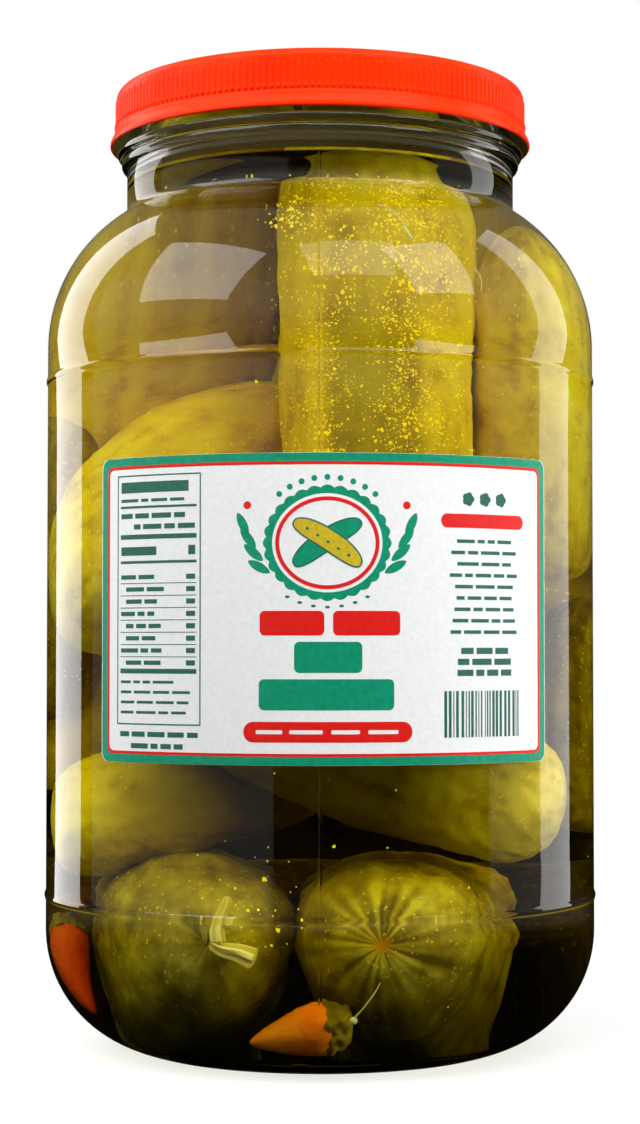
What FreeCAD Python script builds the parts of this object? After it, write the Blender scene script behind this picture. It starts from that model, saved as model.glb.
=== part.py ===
"""One-gallon glass jar of whole pickles with a screw lid and a wrap label.

Four pieces share one upright axis: the glass jar, the ribbed plastic lid that sits on its rim,
the paper label that lies on its front, and the brine that fills it up to the neck. +Z is up,
the jar stands on z = 0 and the label faces -Y. All lengths are in millimetres.
"""
import FreeCAD, Part
import Sketcher
import math
import os

DOCUMENT = FreeCAD.newDocument("PickleJar")

# Driving dimensions. A length that belongs to one feature is given from that feature's own base,
# so the neck rides on the shoulder, the lid on the rim and the brine inside the glass.
DIMENSIONS = {
    "body_radius": 77.0,
    "glass_wall": 3.0,
    "base_thickness": 6.0,
    "push_up": 5.0,
    "bearing_inset": 25.8,
    "bearing_width": 4.0,
    "heel_radius": 34.0,
    "heel_height": 33.0,
    "shoulder_height": 195.0,
    "shoulder_radius": 44.5,
    "neck_radius": 54.9,
    "neck_fillet": 2.5,
    "neck_height": 11.1,
    "ring_radius": 1.6,
    "collar_reach": 2.7,
    "collar_height": 2.5,
    "rim_rounding": 1.1,
    "panel_rise": 9.3,
    "panel_drop": 9.4,
    "bead_width": 2.6,
    "bead_reach": 0.4,
    "brine_rise": 8.4,
    "lid_wall": 1.7,
    "thread_gap": 1.6,
    "lid_height": 16.1,
    "lid_top": 2.0,
    "lid_corner": 2.6,
    "lid_gap": 0.7,
    "skirt_height": 4.0,
    "skirt_flare": 1.5,
    "ledge_step": 0.5,
    "rib_count": 200,
    "rib_length": 8.2,
    "rib_depth": 0.5,
    "rib_groove": 1.1,
    "label_lift": 6.85,
    "label_height": 78.8,
    "label_width": 130.9,
    "label_thickness": 0.2,
    "label_corner": 2.6,
    "label_turn": 1.1,
}


class Size:
    """A length with the spreadsheet formula that gives it, so one sum serves sketch and binding."""

    def __init__(self, value, formula):
        self.value = value
        self.formula = formula

    def __add__(self, other):
        return combine(self, "+", other, self.value + as_size(other).value)

    def __sub__(self, other):
        return combine(self, "-", other, self.value - as_size(other).value)

    def __mul__(self, other):
        return combine(self, "*", other, self.value * as_size(other).value)

    def __truediv__(self, other):
        return combine(self, "/", other, self.value / as_size(other).value)

    def root(self):
        return Size(math.sqrt(self.value), f"sqrt({self.formula})")


def as_size(number):
    """Gives a plain number the same form as a named size."""
    return number if isinstance(number, Size) else Size(float(number), repr(float(number)))


def combine(left, sign, right, value):
    return Size(value, f"({left.formula} {sign} {as_size(right).formula})")


def dimension_sheet():
    """Writes the driving dimensions into the spreadsheet and hands back a Size for each alias."""
    sheet = DOCUMENT.addObject("Spreadsheet::Sheet", "dims")
    sizes = {}
    for row, (alias, number) in enumerate(DIMENSIONS.items(), start=1):
        sheet.set(f"A{row}", alias)
        sheet.set(f"B{row}", str(number))
        sheet.setAlias(f"B{row}", alias)
        sizes[alias] = Size(float(number), f"dims.{alias}")
    DOCUMENT.recompute()
    return sizes


SIZE = dimension_sheet()


def line_to(r, z):
    """A straight stretch of an outline, from the last corner to (r, z)."""
    return {"end": (as_size(r), as_size(z))}


def arc_to(r, z, centre_r, centre_z, radius, turn):
    """A round stretch to (r, z) about the centre; turn is +1 counter-clockwise, -1 clockwise."""
    return {
        "end": (as_size(r), as_size(z)),
        "centre": (as_size(centre_r), as_size(centre_z)),
        "radius": as_size(radius),
        "turn": turn,
    }


def point(pair):
    return FreeCAD.Vector(pair[0].value, pair[1].value, 0)


def stretch_geometry(start, stretch):
    """The sketch line or arc from the start corner along one stretch."""
    first = point(start)
    last = point(stretch["end"])
    if "centre" not in stretch:
        return Part.LineSegment(first, last)
    centre = point(stretch["centre"])
    circle = Part.Circle(centre, FreeCAD.Vector(0, 0, 1), stretch["radius"].value)
    ends = (first, last) if stretch["turn"] > 0 else (last, first)
    angles = [math.atan2(end.y - centre.y, end.x - centre.x) for end in ends]
    return Part.ArcOfCircle(circle, angles[0], angles[1])


def bind(sketch, index, label, size):
    """Names a constraint and ties it to the spreadsheet."""
    sketch.renameConstraint(index, label)
    sketch.setExpression(f"Constraints.{label}", size.formula)


def pin_corner(sketch, place, position, number, corner):
    """Fixes one end of a stretch at its distances from the sketch's origin."""
    for axis, size in zip("XY", corner):
        if abs(size.value) < 1e-9:
            on_axis = -2 if axis == "X" else -1
            sketch.addConstraint(Sketcher.Constraint("PointOnObject", place, position, on_axis))
            continue
        distance = Sketcher.Constraint(f"Distance{axis}", -1, 1, place, position, size.value)
        bind(sketch, sketch.addConstraint(distance), f"corner{number}{axis}", size)


def outline_sketch(body, name, plane, start, stretches):
    """A closed sketch of lines and arcs. Every corner and radius is tied to the spreadsheet."""
    sketch = body.newObject("Sketcher::SketchObject", name)
    planes = [item for item in body.Origin.OriginFeatures if item.Role == plane]
    sketch.AttachmentSupport = (planes[0], "")
    sketch.MapMode = "FlatFace"
    start = (as_size(start[0]), as_size(start[1]))
    corners = [start] + [stretch["end"] for stretch in stretches]
    for number, stretch in enumerate(stretches):
        sketch.addGeometry(stretch_geometry(corners[number], stretch), False)
    last = len(stretches) - 1
    for number, stretch in enumerate(stretches):
        following = stretches[0] if number == last else stretches[number + 1]
        tail = 1 if stretch.get("turn", 1) < 0 else 2
        head = 2 if following.get("turn", 1) < 0 else 1
        target = 0 if number == last else number + 1
        sketch.addConstraint(Sketcher.Constraint("Coincident", number, tail, target, head))
        pin_corner(sketch, number, tail, number, stretch["end"])
        if "radius" in stretch:
            radius = Sketcher.Constraint("Radius", number, stretch["radius"].value)
            bind(sketch, sketch.addConstraint(radius), f"radius{number}", stretch["radius"])
    return sketch


def new_body(label):
    body = DOCUMENT.addObject("PartDesign::Body", label + "_body")
    body.Label = label
    DOCUMENT.recompute()
    return body


def revolve(body, name, sketch):
    """Turns an outline full circle about the jar's axis."""
    turned = body.newObject("PartDesign::Revolution", name)
    turned.Profile = sketch
    turned.ReferenceAxis = (sketch, ["V_Axis"])
    turned.Angle = 360.0
    DOCUMENT.recompute()
    return turned


class Wall:
    """One face of the jar's wall: the outside at depth 0, the inside one wall thickness deeper.

    Heel, shoulder and neck fillet keep the same arc centres at every depth, so the wall is even.
    """

    def __init__(self, depth):
        self.depth = as_size(depth)
        self.side = SIZE["body_radius"] - self.depth
        self.neck = SIZE["neck_radius"] - self.depth
        self.heel_centre = SIZE["body_radius"] - SIZE["heel_radius"]
        self.heel = SIZE["heel_radius"] - self.depth
        self.shoulder_centre = SIZE["body_radius"] - SIZE["shoulder_radius"]
        self.shoulder = SIZE["shoulder_radius"] - self.depth
        self.fillet = SIZE["neck_fillet"] + self.depth
        self.fillet_centre = SIZE["neck_radius"] + SIZE["neck_fillet"]
        reach = self.fillet_centre - self.shoulder_centre
        between = SIZE["shoulder_radius"] + SIZE["neck_fillet"]
        rise = (between * between - reach * reach).root()
        share = self.shoulder / between
        self.neck_start = SIZE["shoulder_height"] + rise
        self.meet_r = self.shoulder_centre + reach * share
        self.meet_z = SIZE["shoulder_height"] + rise * share

    def heel_end(self, level):
        """The radius at which the heel arc reaches a level below its centre."""
        drop = SIZE["heel_height"] - level
        return self.heel_centre + (self.heel * self.heel - drop * drop).root()

    def climb(self, beads=()):
        """From the heel up the side, over the shoulder and the fillet, to the foot of the neck."""
        stretches = [
            arc_to(self.side, SIZE["heel_height"], self.heel_centre, SIZE["heel_height"],
                   self.heel, 1),
        ]
        for middle in beads:
            stretches += panel_bead(self.side, middle)
        stretches += [
            line_to(self.side, SIZE["shoulder_height"]),
            arc_to(self.meet_r, self.meet_z, self.shoulder_centre, SIZE["shoulder_height"],
                   self.shoulder, 1),
            arc_to(self.neck, self.neck_start, self.fillet_centre, self.neck_start,
                   self.fillet, -1),
        ]
        return stretches


def panel_bead(side, middle):
    """The low round ridge that guards an edge of the label panel."""
    half = SIZE["bead_width"] / 2
    reach = SIZE["bead_reach"]
    radius = (half * half + reach * reach) / (reach * 2)
    return [
        line_to(side, middle - half),
        arc_to(side, middle + half, side + reach - radius, middle, radius, 1),
    ]


def half_round(r, foot, radius):
    """A ridge of half-round section that stands out from radius r, as two quarter turns."""
    middle = foot + radius
    return [
        arc_to(r + radius, middle, r, middle, radius, 1),
        arc_to(r, middle + radius, r, middle, radius, 1),
    ]


def dome_radius(span, rise):
    """The radius of a shallow dome from its half span and its rise."""
    return (span * span + rise * rise) / (rise * 2)


OUTSIDE = Wall(0)
INSIDE = Wall(SIZE["glass_wall"])
COLLAR_FOOT = OUTSIDE.neck_start + SIZE["neck_height"] + SIZE["ring_radius"] * 2
COLLAR_TOP = COLLAR_FOOT + SIZE["collar_height"]
LID_FOOT = COLLAR_TOP + SIZE["lid_gap"]
RIM = LID_FOOT + SIZE["lid_height"] - SIZE["lid_top"]
BRINE_LEVEL = INSIDE.neck_start + SIZE["brine_rise"]
FLOOR_RADIUS = INSIDE.heel_end(SIZE["base_thickness"])
PANEL_BOTTOM = SIZE["heel_height"] + SIZE["panel_rise"]
PANEL_TOP = SIZE["shoulder_height"] - SIZE["panel_drop"]
PANEL_MIDDLE = (PANEL_BOTTOM + PANEL_TOP) / 2


def finish_outline():
    """The neck's outside above its foot: plain ring, collar, then the wall behind the lid."""
    ring = SIZE["ring_radius"]
    ring_foot = COLLAR_FOOT - ring * 2
    half = SIZE["collar_height"] / 2
    collar = OUTSIDE.neck + SIZE["collar_reach"] - half
    rounding = SIZE["rim_rounding"]
    outer = OUTSIDE.neck
    inner = INSIDE.neck
    stretches = [line_to(outer, ring_foot)] + half_round(outer, ring_foot, ring)
    stretches += [line_to(collar, COLLAR_FOOT)] + half_round(collar, COLLAR_FOOT, half)
    return stretches + [
        line_to(outer, COLLAR_TOP),
        line_to(outer, RIM - rounding),
        arc_to(outer - rounding, RIM, outer - rounding, RIM - rounding, rounding, 1),
        line_to(inner + rounding, RIM),
        arc_to(inner, RIM - rounding, inner + rounding, RIM - rounding, rounding, 1),
    ]


def cavity_descent():
    """The inside of the jar from the foot of the neck down to the top of the pushed-up floor."""
    floor = SIZE["base_thickness"]
    dome = dome_radius(FLOOR_RADIUS, SIZE["push_up"])
    return [
        line_to(INSIDE.neck, INSIDE.neck_start),
        arc_to(INSIDE.meet_r, INSIDE.meet_z, INSIDE.fillet_centre, INSIDE.neck_start,
               INSIDE.fillet, 1),
        arc_to(INSIDE.side, SIZE["shoulder_height"], INSIDE.shoulder_centre,
               SIZE["shoulder_height"], INSIDE.shoulder, -1),
        line_to(INSIDE.side, SIZE["heel_height"]),
        arc_to(FLOOR_RADIUS, floor, INSIDE.heel_centre, SIZE["heel_height"], INSIDE.heel, -1),
        arc_to(0, floor + SIZE["push_up"], 0, floor + SIZE["push_up"] - dome, dome, 1),
    ]


def glass_jar():
    """Blown jar: bearing ring, round heel, label panel between two beads, shoulder and finish."""
    body = new_body("jar_glass")
    bearing_outer = SIZE["body_radius"] - SIZE["bearing_inset"]
    bearing_inner = bearing_outer - SIZE["bearing_width"]
    dome = dome_radius(bearing_inner, SIZE["push_up"])
    foot = [
        arc_to(bearing_inner, 0, 0, SIZE["push_up"] - dome, dome, -1),
        line_to(bearing_outer, 0),
    ]
    side = OUTSIDE.climb(beads=(PANEL_BOTTOM, PANEL_TOP))
    down = cavity_descent()
    close = [line_to(0, SIZE["push_up"])]
    outline = foot + side + finish_outline() + down + close
    sketch = outline_sketch(body, "glass_outline", "XZ_Plane", (0, SIZE["push_up"]), outline)
    revolve(body, "glass_turned", sketch)
    return body


def brine_fill():
    """The liquid and all that is sunk in it: a solid of the cavity up to the fill level."""
    body = new_body("brine")
    outline = cavity_descent() + [line_to(0, BRINE_LEVEL), line_to(INSIDE.neck, BRINE_LEVEL)]
    sketch = outline_sketch(body, "brine_outline", "XZ_Plane", (INSIDE.neck, BRINE_LEVEL), outline)
    revolve(body, "brine_turned", sketch)
    return body


def lid_outline():
    """The lid's half section, from the lower edge of its skirt up and over to the axis."""
    wall = SIZE["lid_wall"]
    inner = SIZE["neck_radius"] + SIZE["thread_gap"]
    outer = inner + wall
    foot = outer + SIZE["skirt_flare"]
    skirt = SIZE["skirt_height"]
    top = SIZE["lid_height"]
    corner = SIZE["lid_corner"]
    ledge = SIZE["ledge_step"]
    under = top - SIZE["lid_top"]
    start = (foot - wall, 0)
    stretches = [
        line_to(foot, 0),
        line_to(outer + ledge, skirt),
        line_to(outer, skirt + ledge),
        line_to(outer, top - corner),
        arc_to(outer - corner, top, outer - corner, top - corner, corner, 1),
        line_to(0, top),
        line_to(0, under),
        line_to(inner, under),
        line_to(inner, skirt),
        line_to(foot - wall, 0),
    ]
    return start, stretches


def rib_groove_sketch(body):
    """The V-shaped gap between two grip ribs, seen from above on the lid's wall."""
    outer = SIZE["neck_radius"] + SIZE["thread_gap"] + SIZE["lid_wall"]
    clear = outer + SIZE["rib_depth"]
    half = SIZE["rib_groove"] / 2
    stretches = [
        line_to(clear, half * -1),
        line_to(clear, half),
        line_to(outer - SIZE["rib_depth"], 0),
    ]
    start = (outer - SIZE["rib_depth"], 0)
    return outline_sketch(body, "rib_groove_outline", "XY_Plane", start, stretches)


def cut_ribs(body):
    """Leaves the ribs standing by cutting one groove and repeating it round the lid."""
    sketch = rib_groove_sketch(body)
    foot = SIZE["skirt_height"] + SIZE["ledge_step"] * 2
    sketch.setExpression(".AttachmentOffset.Base.z", foot.formula)
    DOCUMENT.recompute()
    groove = body.newObject("PartDesign::Pocket", "rib_groove_cut")
    groove.Profile = sketch
    groove.Reversed = True
    groove.setExpression("Length", SIZE["rib_length"].formula)
    DOCUMENT.recompute()
    ring = body.newObject("PartDesign::PolarPattern", "rib_ring")
    ring.Originals = [groove]
    ring.Axis = (sketch, ["N_Axis"])
    ring.Angle = 360.0
    ring.setExpression("Occurrences", SIZE["rib_count"].formula)
    body.Tip = ring
    DOCUMENT.recompute()
    return ring


def screw_lid():
    """Moulded screw lid: flat top, ribbed wall, small ledge and a flared plain skirt."""
    body = new_body("lid")
    start, stretches = lid_outline()
    sketch = outline_sketch(body, "lid_section", "XZ_Plane", start, stretches)
    turned = revolve(body, "lid_turned", sketch)
    plain = turned.Shape.Volume
    ribbed = cut_ribs(body)
    if not ribbed.Shape.Volume < plain:
        raise ValueError("the rib grooves cut nothing from the lid")
    body.setExpression(".Placement.Base.z", LID_FOOT.formula)
    DOCUMENT.recompute()
    return body


def corner_edges(shape, thickness):
    """The short edges through the sheet at its four corners, by name."""
    names = []
    for number, edge in enumerate(shape.Edges, start=1):
        if abs(edge.Length - thickness) < thickness * 0.01:
            names.append(f"Edge{number}")
    return names


def wrap_label():
    """Paper label wrapped round the front of the panel, with rounded corners."""
    body = new_body("label")
    inner = SIZE["body_radius"]
    outer = inner + SIZE["label_thickness"]
    bottom = PANEL_MIDDLE + SIZE["label_lift"] - SIZE["label_height"] / 2
    top = bottom + SIZE["label_height"]
    stretches = [
        line_to(outer, bottom),
        line_to(outer, top),
        line_to(inner, top),
        line_to(inner, bottom),
    ]
    sketch = outline_sketch(body, "label_section", "XZ_Plane", (inner, bottom), stretches)
    sheet = body.newObject("PartDesign::Revolution", "label_sheet")
    sheet.Profile = sketch
    sheet.ReferenceAxis = (sketch, ["V_Axis"])
    sheet.Midplane = True
    wrap = SIZE["label_width"] / inner * (180 / math.pi)
    sheet.setExpression("Angle", wrap.formula)
    DOCUMENT.recompute()
    corners = body.newObject("PartDesign::Fillet", "label_corners")
    edges = corner_edges(sheet.Shape, SIZE["label_thickness"].value)
    corners.Base = (sheet, edges)
    corners.setExpression("Radius", SIZE["label_corner"].formula)
    body.Tip = corners
    facing = SIZE["label_turn"] - 90
    body.setExpression(".Placement.Rotation.Angle", facing.formula)
    DOCUMENT.recompute()
    return body


def check_document(sub_parts):
    """Stops the run if any object failed or any sub-part is not one valid solid."""
    failed = []
    for item in DOCUMENT.Objects:
        if "Invalid" in item.State or "Error" in item.State:
            failed.append(item.Name)
    for body in sub_parts:
        shape = body.Shape
        if shape.isNull() or not shape.isValid() or len(shape.Solids) != 1:
            failed.append(body.Label)
    if failed:
        raise RuntimeError("failed objects: " + ", ".join(failed))


def write_parts(sub_parts):
    """Writes each sub-part to a STEP file that carries its label."""
    os.makedirs("parts", exist_ok=True)
    for body in sub_parts:
        body.Shape.exportStep(f"parts/{body.Label}.step")
        box = body.Shape.optimalBoundingBox(False, False)
        size = f"{box.XLength:.1f} x {box.YLength:.1f} x {box.ZLength:.1f} mm"
        span = f"z {box.ZMin:.2f} to {box.ZMax:.2f}"
        print(f"{body.Label}: {size}, {span}, {body.Shape.Volume / 1000:.1f} cm3")


SUB_PARTS = [glass_jar(), brine_fill(), screw_lid(), wrap_label()]
check_document(SUB_PARTS)
write_parts(SUB_PARTS)
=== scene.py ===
# %% [markdown]
# # A gallon jar of whole pickles
# The frame gives four fixed pieces: the glass jar, the brine, the screw lid and the paper label.
# Blender adds what the eye needs: clear glass with its seam and beads, yellow brine, the sunk
# pickles, small hot peppers, spice and bubbles, a ribbed lid and a printed label.
# Everything is in metres. +Z is up, the label faces -Y, and the jar stands on z = 0.

# %% Load the frame
import bpy
import math
import numpy as np
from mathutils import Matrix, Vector


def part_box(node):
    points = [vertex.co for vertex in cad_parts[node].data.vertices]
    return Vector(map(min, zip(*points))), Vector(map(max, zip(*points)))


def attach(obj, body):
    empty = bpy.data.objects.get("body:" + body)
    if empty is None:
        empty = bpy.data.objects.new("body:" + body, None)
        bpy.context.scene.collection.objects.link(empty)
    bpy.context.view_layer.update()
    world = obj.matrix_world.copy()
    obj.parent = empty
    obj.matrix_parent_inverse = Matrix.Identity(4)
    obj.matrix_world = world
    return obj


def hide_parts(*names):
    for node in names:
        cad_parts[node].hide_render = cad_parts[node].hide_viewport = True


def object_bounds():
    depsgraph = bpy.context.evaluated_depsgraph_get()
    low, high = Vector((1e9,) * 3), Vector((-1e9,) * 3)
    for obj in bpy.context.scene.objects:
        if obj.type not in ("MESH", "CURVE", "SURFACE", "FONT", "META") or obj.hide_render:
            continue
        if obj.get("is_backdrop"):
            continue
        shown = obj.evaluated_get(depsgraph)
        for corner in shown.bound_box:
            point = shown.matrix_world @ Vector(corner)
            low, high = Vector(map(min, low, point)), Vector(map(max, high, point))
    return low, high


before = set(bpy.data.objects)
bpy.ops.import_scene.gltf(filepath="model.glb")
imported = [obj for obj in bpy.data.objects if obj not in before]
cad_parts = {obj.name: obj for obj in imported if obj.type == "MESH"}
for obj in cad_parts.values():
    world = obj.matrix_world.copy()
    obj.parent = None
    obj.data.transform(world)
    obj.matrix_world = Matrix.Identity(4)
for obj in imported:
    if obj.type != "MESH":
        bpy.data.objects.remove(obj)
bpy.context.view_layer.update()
MM = 0.001

# %% [markdown]
# ## Measures
# Heights and radii come from the boxes of the CAD pieces, so a new size of jar carries through.
# What a box can't tell, such as how round the heel is, is named here in millimetres.

# %% Measures of the jar
_, GLASS_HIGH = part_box("jar_glass")
BRINE_LOW, BRINE_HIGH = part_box("brine")
LID_LOW, LID_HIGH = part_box("lid")
LABEL_LOW, LABEL_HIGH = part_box("label")

BEAD_REACH = 0.4 * MM
BODY_R = GLASS_HIGH.x - BEAD_REACH
WALL = BODY_R - BRINE_HIGH.x
RIM_Z = GLASS_HIGH.z
BRINE_Z = BRINE_HIGH.z
HEEL_R = 34.0 * MM
HEEL_Z = 33.0 * MM
SHOULDER_R = 44.5 * MM
SHOULDER_Z = 195.0 * MM
NECK_R = 54.9 * MM
NECK_FILLET = 2.5 * MM
FLOOR_Z = BRINE_LOW.z
PUSH_UP = 5.0 * MM
FOOT_R = BODY_R - 25.8 * MM
FOOT_WIDTH = 4.0 * MM
PANEL_BEADS = (42.3 * MM, 185.6 * MM)
COLLAR_FOOT_Z = 249.2 * MM
NECK_FOOT_Z = 232.0 * MM
print("body radius, wall, brine level in mm:",
      [round(v / MM, 2) for v in (BODY_R, WALL, BRINE_Z)])

# %% [markdown]
# ## Helpers
# A surface is a grid of points, `rows` by `columns`. One function turns such a grid into a mesh:
# it numbers the points, joins each to its right and upper neighbour, and closes seams and poles.

# %% Mesh from a grid
def grid_faces(rows, columns, wrap):
    """Quads of a grid: corner (i, j) joins (i, j+1), (i+1, j+1) and (i+1, j)."""
    i = np.arange(rows - 1)[:, None]
    j = np.arange(columns if wrap else columns - 1)[None, :]
    right = (j + 1) % columns
    quads = np.stack([i * columns + j, i * columns + right,
                      (i + 1) * columns + right, (i + 1) * columns + j], axis=-1)
    return quads.reshape(-1, 4)


def mesh_object(name, points, faces, smooth=True):
    """Puts whole arrays of points and faces (lists or one array of quads) into a new object."""
    mesh = bpy.data.meshes.new(name)
    mesh.from_pydata(np.asarray(points, dtype=float).tolist(), [],
                     [list(map(int, face)) for face in faces])
    mesh.validate()
    if smooth:
        mesh.shade_smooth()
    made = bpy.data.objects.new(name, mesh)
    bpy.context.scene.collection.objects.link(made)
    return made


def round_object(name, points):
    """An object from a grid of points whose columns close round."""
    return mesh_object(name, points.reshape(-1, 3), grid_faces(*points.shape[:2], True))


def piece(made, material, replaces=None):
    """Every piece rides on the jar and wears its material."""
    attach(made, "root")
    if replaces:
        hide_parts(replaces)
    made.data.materials.clear()
    made.data.materials.append(material)
    return made


# %% Outline helpers
def turns(count):
    """Even angles once round, in radians."""
    return np.linspace(0, 2 * math.pi, count, endpoint=False)


def arc(centre_r, centre_z, radius, start, stop, count=16):
    """Points on a circle: centre plus radius times (cos, sin) of angles in degrees."""
    angle = np.radians(np.linspace(start, stop, count))
    return np.c_[centre_r + radius * np.cos(angle), centre_z + radius * np.sin(angle)]


def straight(start, stop, count=2):
    """Evenly spaced points between two corners."""
    share = np.linspace(0, 1, count)[:, None]
    return np.asarray(start)[None, :] * (1 - share) + np.asarray(stop)[None, :] * share


def unit(vectors):
    """Vectors divided by their length."""
    return vectors / np.linalg.norm(vectors, axis=-1, keepdims=True)


def around(radius, angle, height):
    """Points round the jar's axis: (r cos a, r sin a, z)."""
    return np.stack(np.broadcast_arrays(radius * np.cos(angle), radius * np.sin(angle), height),
                    axis=-1)


def join_outline(*parts):
    """Strings parts together and drops points that repeat the one before."""
    points = np.vstack(parts)
    step = np.linalg.norm(np.diff(points, axis=0), axis=1)
    return points[np.r_[True, step > 1e-6]]


def turn_outline(outline, angles):
    """A lathe surface: the point (r, z) at angle a lies at (r cos a, r sin a, z)."""
    return around(outline[:, :1], angles[None, :], outline[:, 1:])


# %% [markdown]
# ## Colours and nodes
# Colours are written as sRGB hex, as a paint card would give them, and turned to the linear
# values that Blender works with. One helper adds a node with its settings and links.

# %% Colour and node helpers
def linear(hex_code):
    """sRGB hex to linear RGBA: divide by 12.92 near black, else ((c + 0.055) / 1.055) ^ 2.4."""
    value = np.array([int(hex_code[i:i + 2], 16) / 255 for i in (1, 3, 5)])
    low = value / 12.92
    high = ((value + 0.055) / 1.055) ** 2.4
    return (*np.where(value <= 0.04045, low, high).tolist(), 1.0)


def add_node(tree, kind, settings=None, **inputs):
    """Adds a node. `settings` are its properties; inputs are values, or sockets to link from.
    A node given as an input stands for its first output."""
    node = tree.nodes.new("ShaderNode" + kind)
    for key, value in (settings or {}).items():
        setattr(node, key, value)
    for key, value in inputs.items():
        name = int(key[1:]) if key[0] == "_" else key.replace("_", " ")
        socket = node.inputs[name]
        if isinstance(value, bpy.types.Node):
            value = value.outputs[0]
        if isinstance(value, bpy.types.NodeSocket):
            tree.links.new(value, socket)
        else:
            socket.default_value = value
    return node


def compute(tree, operation, *values):
    """The result of one operation on two or three values or sockets."""
    inputs = {f"_{k}": value for k, value in enumerate(values)}
    return add_node(tree, "Math", {"operation": operation}, **inputs).outputs[0]


def fade(tree, value, start, stop, low=0.0, high=1.0, curve="LINEAR"):
    """Runs from `low` where the value is `start` to `high` where it is `stop`."""
    return add_node(tree, "MapRange", {"interpolation_type": curve}, Value=value, From_Min=start,
                    From_Max=stop, To_Min=low, To_Max=high).outputs[0]


def new_material(name):
    """A material and its empty tree."""
    material = bpy.data.materials.new(name)
    material.use_nodes = True
    tree = material.node_tree
    tree.nodes.clear()
    return material, tree


def ramp(tree, fac, stops):
    """A colour ramp whose stops are (place, hex)."""
    node = add_node(tree, "ValToRGB", Fac=fac)
    elements = node.color_ramp.elements
    while len(elements) < len(stops):
        elements.new(0.5)
    for element, (place, colour) in zip(elements, stops):
        element.position = place
        element.color = linear(colour)
    return node.outputs["Color"]


def mottled(name, scale, stops, roughness, ior=1.5, detail=2.0, **extra):
    """A material whose colour drifts between the stops of a ramp with soft noise. `extra` sets
    more inputs of its surface."""
    material, tree = new_material(name)
    coords = add_node(tree, "TexCoord").outputs["Object"]
    noise = add_node(tree, "TexNoise", Vector=coords, Scale=scale, Detail=detail)
    shader = add_node(tree, "BsdfPrincipled", Roughness=roughness, IOR=ior,
                      Base_Color=ramp(tree, noise, stops), **extra)
    add_node(tree, "OutputMaterial", Surface=shader)
    return material


def clear_material(name, colour, ior, tint, **volume):
    """A smooth clear surface that bends light. Lamps shine straight through: shadow rays meet a
    tinted clear surface instead. `volume` sets the inputs of what absorbs light inside."""
    material, tree = new_material(name)
    shader = add_node(tree, "BsdfPrincipled", Base_Color=linear(colour), Roughness=0.0, IOR=ior,
                      Transmission_Weight=1.0)
    path = add_node(tree, "LightPath")
    clear = add_node(tree, "BsdfTransparent", Color=linear(tint))
    mix = add_node(tree, "MixShader", Fac=path.outputs["Is Shadow Ray"], _1=shader, _2=clear)
    output = add_node(tree, "OutputMaterial", Surface=mix)
    if volume:
        inside = add_node(tree, "VolumeAbsorption", **volume)
        tree.links.new(inside.outputs[0], output.inputs["Volume"])
    return material


# %% [markdown]
# ## The glass
# A food jar is blown soda-lime glass, IOR about 1.5, with a faint grey-green body. The mould
# leaves a seam from foot to finish, and the inside, which no mould touched, is a little uneven.
# Both come from the lathe's formula: a thin ridge at the seam, and slow waves inside.

# %% Glass material
GLASS = clear_material("soda_lime_glass", "#f4f6ee", 1.5, "#f2f4ea")

# %% Glass outline
def shoulder_outline(depth, count=26):
    """Side, shoulder arc and neck fillet at a depth inside the wall: all arcs share centres."""
    fillet_r = NECK_R + NECK_FILLET
    centre_r = BODY_R - SHOULDER_R
    rise = math.sqrt((SHOULDER_R + NECK_FILLET) ** 2 - (fillet_r - centre_r) ** 2)
    meet = math.degrees(math.atan2(rise, fillet_r - centre_r))
    return join_outline(
        arc(centre_r, SHOULDER_Z, SHOULDER_R - depth, 0, meet, count),
        arc(fillet_r, SHOULDER_Z + rise, NECK_FILLET + depth, 180 + meet, 180, 8))


def heel_outline(depth, level, count=24):
    """The heel arc from the level where it meets the foot or floor, out to the side."""
    low = -math.degrees(math.asin(min(1.0, (HEEL_Z - level) / (HEEL_R - depth))))
    return arc(BODY_R - HEEL_R, HEEL_Z, HEEL_R - depth, low, 0, count)


def dome(radius, level, rise, count=12):
    """A shallow dome: its height falls off with the square of the radius."""
    r = np.linspace(0, radius, count)
    return np.c_[r, level + rise * (1 - (r / radius) ** 2)]


def panel_side(depth_out, count=9):
    """The straight side with its two low round beads."""
    half = 1.3 * MM
    parts = []
    for middle in PANEL_BEADS:
        z = np.linspace(-1, 1, count)
        parts.append(np.c_[BODY_R - depth_out + BEAD_REACH * np.cos(z * math.pi / 2),
                           middle + half * z])
    return join_outline(parts[0], straight(parts[0][-1], parts[1][0], 12), parts[1])


def glass_outline():
    """Outer face from the middle of the foot up to the rim, then the inner face down again."""
    skin = 0.02 * MM
    outer_foot = join_outline(dome(FOOT_R - FOOT_WIDTH, 0, PUSH_UP),
                              straight((FOOT_R - FOOT_WIDTH, 0), (FOOT_R, 0)))
    side = panel_side(skin)
    ring = 1.6 * MM
    half = 1.25 * MM
    collar_r = NECK_R + 2.7 * MM - half
    foot_z = COLLAR_FOOT_Z
    top_z = foot_z + 2 * half
    finish = join_outline(
        arc(NECK_R, foot_z - ring, ring, -90, 90, 11),
        arc(collar_r, foot_z + half, half, -90, 90, 10),
        straight((NECK_R, top_z), (NECK_R, RIM_Z - 1.1 * MM)),
        arc(NECK_R - 1.1 * MM, RIM_Z - 1.1 * MM, 1.1 * MM, 0, 90, 5),
        arc(NECK_R - WALL + 1.1 * MM, RIM_Z - 1.1 * MM, 1.1 * MM, 90, 180, 5))
    outer = join_outline(outer_foot, heel_outline(skin, 0), side, shoulder_outline(skin), finish)
    inner = join_outline(shoulder_outline(WALL)[::-1], heel_outline(WALL, FLOOR_Z)[::-1])
    floor = dome(inner[-1, 0], FLOOR_Z, PUSH_UP)[::-1]
    return outer, join_outline(inner, floor)


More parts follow.
